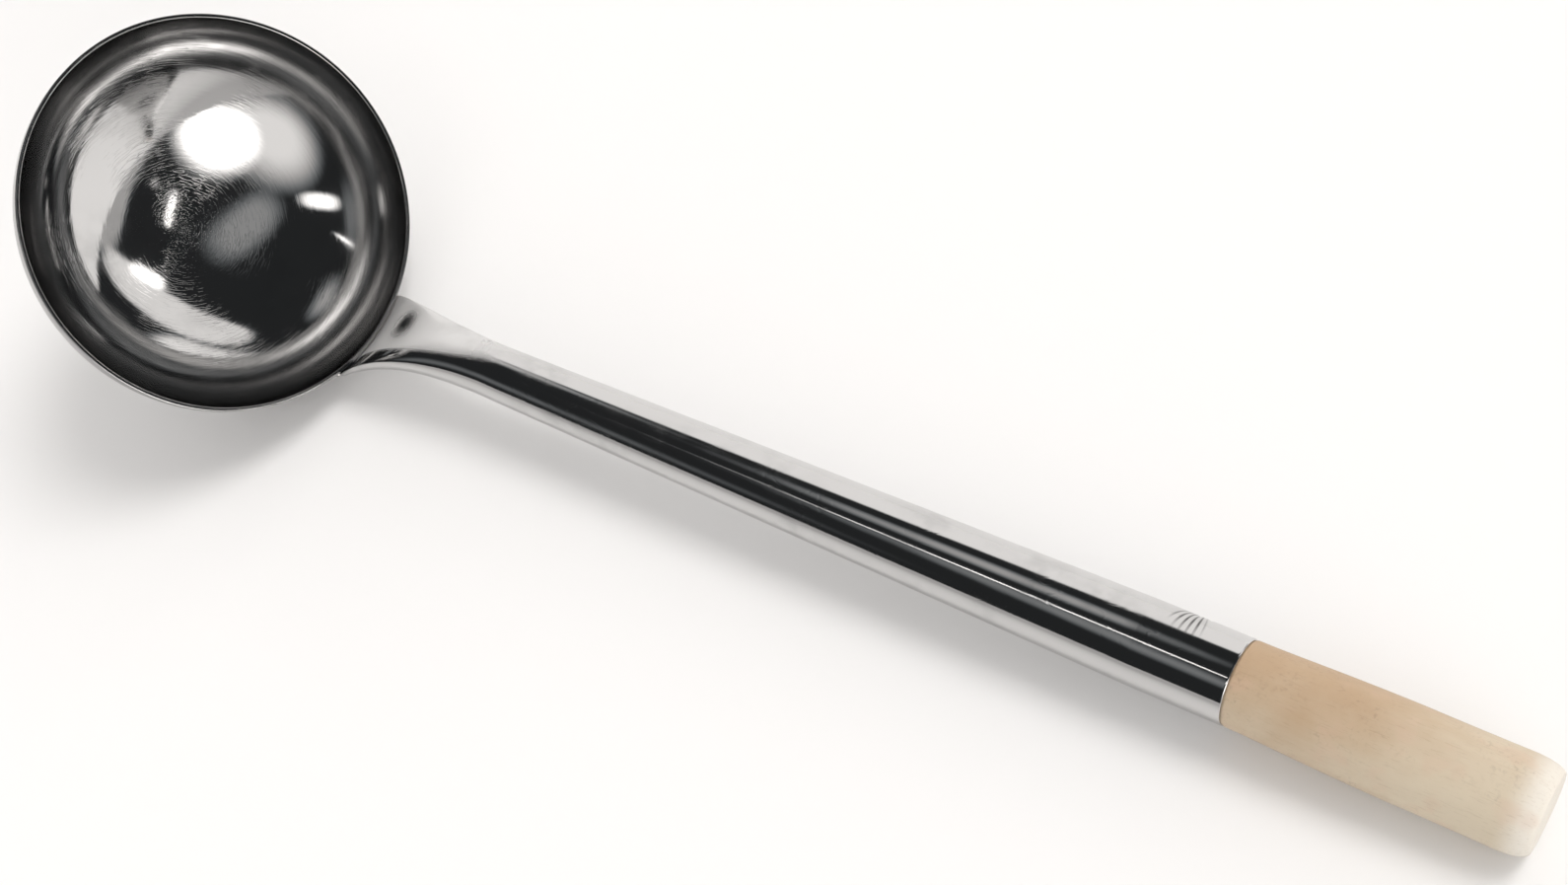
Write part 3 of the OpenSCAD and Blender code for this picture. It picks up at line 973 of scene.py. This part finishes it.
# Soft lights of the studio: degrees off the camera's line, clock direction from the camera's right
# towards its up, half width, half height, turn from the line to the camera, corners, softness, light.
SOFTBOXES = {
    "key": (43, -46, 13.5, 13.5, 0, 2.0, 0.75, 4.5),
    "cloud": (34, -88, 21, 20, 0, 2.2, 0.60, 0.92),
    "side_streak": (21, -172, 11, 3.2, -10, 2.5, 0.60, 2.2),
    "tube_line": (42, 157, 8, 0.7, 0, 2.5, 0.70, 2.6),
    "side_panel": (44, 176, 5.0, 12, 8, 2.5, 0.80, 0.22),
    "high_cloud": (54, 122, 5.0, 8.5, 30, 2.0, 0.80, 0.40),
    "low_stripe": (72, -166, 5.0, 9.0, 0, 2.0, 0.90, 0.13),
    "bar": (51.4, 5, 6.6, 1.2, -107, 4.0, 0.25, 3.0),
    "lamp": (58.5, -6, 1.2, 1.2, 0, 2.0, 0.50, 1.0),
    "window_corner": (70, 32, 6.5, 2.7, -50, 2.5, 0.40, 3.0),
    "long_panel": (72.5, 50, 31, 8.5, -72, 2.8, 0.12, 0.85),
    "side_wall": (77.5, -9, 29, 10.5, -105, 3.5, 0.12, 0.42),
    "wedge": (22, 27, 17, 8.5, 15, 2.5, 0.50, 0.30),
    "back_wall": (102, 92, 25, 38, 0, 5.0, 0.12, 0.94),
    "neck_wall": (84, 128, 14, 12, 0, 3.0, 0.35, 0.95),
    "far_strip": (118, 165, 5, 26, 20, 5.0, 0.25, 1.6),
}

# The soft light overhead that only matt surfaces see, in the same order.
OVERHEAD = (44, 72, 13, 13, 0, 2.0, 0.50, 8.0)


def build_world(stage):
    """The light from all round. Polished metal sees a dark room with soft lights in it, dimmer after
    each mirroring. Matt surfaces see the same lights, one more overhead, and an even fill."""
    world = bpy.data.worlds.new("Studio")
    bpy.context.scene.world = world
    world.use_nodes = True
    tree = world.node_tree
    tree.nodes.clear()
    ray = tree.nodes.new("ShaderNodeTexCoord").outputs["Generated"]
    softbox = softbox_group()
    right, up, back = camera_axes(stage)

    def distant(name, off, clock, width, height, turn, corners, softness, light):
        """The light that one of the soft lights sends along the ray."""
        clock, off, turn = radians(clock), radians(off), radians(turn)
        outward = right * cos(clock) + up * sin(clock)
        toward = back * cos(off) + outward * sin(off)
        radial = outward * cos(off) - back * sin(off)
        sideways = toward.cross(radial)
        across = radial * cos(turn) + sideways * sin(turn)
        box = group_node(
            tree, softbox, Ray=ray, Toward=toward[:], Across=across[:], Up=toward.cross(across)[:],
            Width=tan(radians(width)), Height=tan(radians(height)),
            Corners=corners, Softness=softness, Light=light,
        )
        box.label = name
        return box.outputs["Light"]

    total = 0.0
    for name, settings in SOFTBOXES.items():
        total = plus(tree, distant(name, *settings), total)
    path = tree.nodes.new("ShaderNodeLightPath").outputs
    matt = times(tree, plus(tree, distant("overhead", *OVERHEAD), stage.fill), path["Is Diffuse Ray"])
    backdrop = times(tree, stage.backdrop, path["Is Camera Ray"])
    base = plus(tree, stage.dark_room, plus(tree, matt, backdrop))
    seen = times(tree, total, less(tree, 1.0, path["Is Camera Ray"]))
    deep = ramp(tree, path["Glossy Depth"], 1.0, 4.0, 1.0, stage.depth_light)
    lit = times(tree, plus(tree, seen, base), deep)
    cool, warm = (0.90, 0.96, 1.0), (1.0, 0.975, 0.955)
    tint = mix(tree, ramp(tree, lit, 0.0, 0.5), solid(cool), solid(warm))
    background = node(tree, "ShaderNodeBackground", {}, Color=tint, Strength=lit)
    out = tree.nodes.new("ShaderNodeOutputWorld")
    tree.links.new(background.outputs[0], out.inputs["Surface"])


def build_floor(stage):
    """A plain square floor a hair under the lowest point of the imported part. Polished metal sees it
    dimmer far in front of the part, as on a table that is lit from behind."""
    half = stage.floor_size / 2
    gap = 0.02 * MM
    under = CAD_BOX[0].z - gap
    corners = [(-half, -half, under), (half, -half, under), (half, half, under), (-half, half, under)]
    mesh = bpy.data.meshes.new("floor")
    mesh.from_pydata(corners, [], [(0, 1, 2, 3)])
    floor = bpy.data.objects.new("floor", mesh)
    bpy.context.scene.collection.objects.link(floor)
    material, tree, shader, place, _ = new_material("Pale floor")
    front = dot(tree, place, (0.0, -1.0, 0.0))
    lit = ramp(tree, front, stage.bright_to, stage.far_from, stage.near_floor, stage.far_floor)
    path = tree.nodes.new("ShaderNodeLightPath").outputs
    seen = times(tree, path["Is Glossy Ray"], less(tree, 1.0, lit))
    tree.links.new(mix(tree, seen, solid(stage.floor_colour), solid(BLACK)), shader.inputs["Base Color"])
    shader.inputs["Roughness"].default_value = 0.9
    shader.inputs["Specular IOR Level"].default_value = 0.1
    mesh.materials.append(material)


def build_camera(stage):
    """The camera, placed back from the point that it aims at along its own line of sight."""
    right, up, back = camera_axes(stage)
    data = bpy.data.cameras.new("camera")
    data.lens = stage.lens
    data.sensor_width = 36.0
    camera = bpy.data.objects.new("camera", data)
    bpy.context.scene.collection.objects.link(camera)
    place = Vector(stage.aim) + back * stage.distance
    turn = Matrix((right, up, back)).transposed().to_4x4()
    camera.matrix_world = Matrix.Translation(place) @ turn
    bpy.context.scene.camera = camera


# ---- Operators, one for each piece and one for the stage ----

def shared_group(name, build):
    """The node group with that name, built the first time that it is asked for."""
    return bpy.data.node_groups.get(name) or build()


def finish_groups():
    """The groups for polishing lines and smudges, which all the metals share."""
    return shared_group("Polishing lines", hairlines_group), shared_group("Smudges", smudges_group)


class LADLE_OT_bowl(bpy.types.Operator):
    """Builds the pressed and polished bowl"""

    bl_idname = "ladle.bowl"
    bl_label = "Bowl"

    def execute(self, context):
        bowl = context.scene.ladle_bowl
        lying = lie()
        # The upper wall is rougher by 0.09 and carries painted shade: its colour is darkened 0.22 of the way
        # to black.
        finishes_and_shade = [(near_rim_rough_and_shaded(lying), 0.09, 0.22, 0.0)]
        steel = polished_steel("Polished bowl steel", bowl.steel, *finish_groups(), BOWL_LOOK, finishes_and_shade)
        shown("bowl_sheet", lying, bowl_surface(bowl), steel, "bowl_steel", "bowl")
        return {"FINISHED"}


class LADLE_OT_tube(bpy.types.Operator):
    """Builds the tube with its neck, tongue and socket"""

    bl_idname = "ladle.tube"
    bl_label = "Tube"

    def execute(self, context):
        scene = context.scene
        bowl, handle = scene.ladle_bowl, scene.ladle_handle
        lying = lie()
        surface = tube_surface(bowl, handle, scene.ladle_grip)
        # The neck face is rougher and more matt. The creases round the nail are rougher by 0.10 and carry
        # painted shade: their colour is darkened 0.80 of the way to black.
        finishes_and_shade = [
            (neck_face(bowl, handle, lying), 0.30, 0.0, 0.62),
            (nail_creases_rough_and_shaded(lying), 0.10, 0.80, 0.0),
        ]
        steel = polished_steel("Polished tube steel", handle.steel, *finish_groups(), TUBE_LOOK, finishes_and_shade)
        shown("rolled_tube", lying, surface, steel, "tube_steel", "handle_tube")
        return {"FINISHED"}


class LADLE_OT_weld(bpy.types.Operator):
    """Builds the dressed weld round the tongue"""

    bl_idname = "ladle.weld"
    bl_label = "Weld"

    def execute(self, context):
        scene = context.scene
        surface = bead_surface(scene.ladle_bowl, scene.ladle_handle)
        steel = weld_steel("Dressed weld", *finish_groups())
        shown("weld_bead", lie(), surface, steel, "weld_metal", "neck_weld")
        return {"FINISHED"}


class LADLE_OT_grip(bpy.types.Operator):
    """Builds the turned wooden grip with its tenon"""

    bl_idname = "ladle.grip"
    bl_label = "Grip"

    def execute(self, context):
        scene = context.scene
        lying = lie()
        surface = grip_surface(scene.ladle_handle, scene.ladle_grip, lying)
        wood = pale_wood(scene.ladle_grip, lying, shared_group("Smudges", smudges_group))
        shown("turned_grip", lying, surface, wood, "grip_wood", "wood_grip")
        return {"FINISHED"}


class LADLE_OT_nail(bpy.types.Operator):
    """Builds the nail that holds the grip"""

    bl_idname = "ladle.nail"
    bl_label = "Nail"

    def execute(self, context):
        scene = context.scene
        lying = lie()
        surface = nail_surface(scene.ladle_handle, scene.ladle_grip, lying)
        bright = (0.60, 0.59, 0.58)
        steel = polished_steel("Nail steel", bright, *finish_groups(), NAIL_LOOK, [])
        shown("domed_nail", lying, surface, steel, "nail_steel", "grip_nail")
        return {"FINISHED"}


class LADLE_OT_stage(bpy.types.Operator):
    """Builds the floor, the soft studio light and the camera"""

    bl_idname = "ladle.stage"
    bl_label = "Stage"

    def execute(self, context):
        stage = context.scene.ladle_stage
        build_world(stage)
        build_floor(stage)
        build_camera(stage)
        context.scene.view_settings.view_transform = "Standard"
        return {"FINISHED"}


OPERATORS = (LADLE_OT_stage, LADLE_OT_bowl, LADLE_OT_tube, LADLE_OT_weld, LADLE_OT_grip, LADLE_OT_nail)


class LADLE_PT_panel(bpy.types.Panel):
    """Lists the steps that build the ladle"""

    bl_idname = "LADLE_PT_panel"
    bl_label = "Wok ladle"
    bl_space_type = "VIEW_3D"
    bl_region_type = "UI"
    bl_category = "Ladle"

    def draw(self, context):
        for operator in OPERATORS:
            self.layout.operator(operator.bl_idname)


CLASSES = tuple(SETTINGS.values()) + OPERATORS + (LADLE_PT_panel,)


def register():
    """Registers the classes and puts the settings on the scene."""
    for cls in CLASSES:
        bpy.utils.register_class(cls)
    for name, cls in SETTINGS.items():
        setattr(bpy.types.Scene, name, PointerProperty(type=cls))


def unregister():
    """Takes the settings and the classes away again."""
    for name in SETTINGS:
        delattr(bpy.types.Scene, name)
    for cls in reversed(CLASSES):
        bpy.utils.unregister_class(cls)


def main():
    """Builds the stage and every piece."""
    register()
    bpy.ops.ladle.stage()
    bpy.ops.ladle.bowl()
    bpy.ops.ladle.tube()
    bpy.ops.ladle.weld()
    bpy.ops.ladle.grip()
    bpy.ops.ladle.nail()


if __name__ == "__main__":
    main()
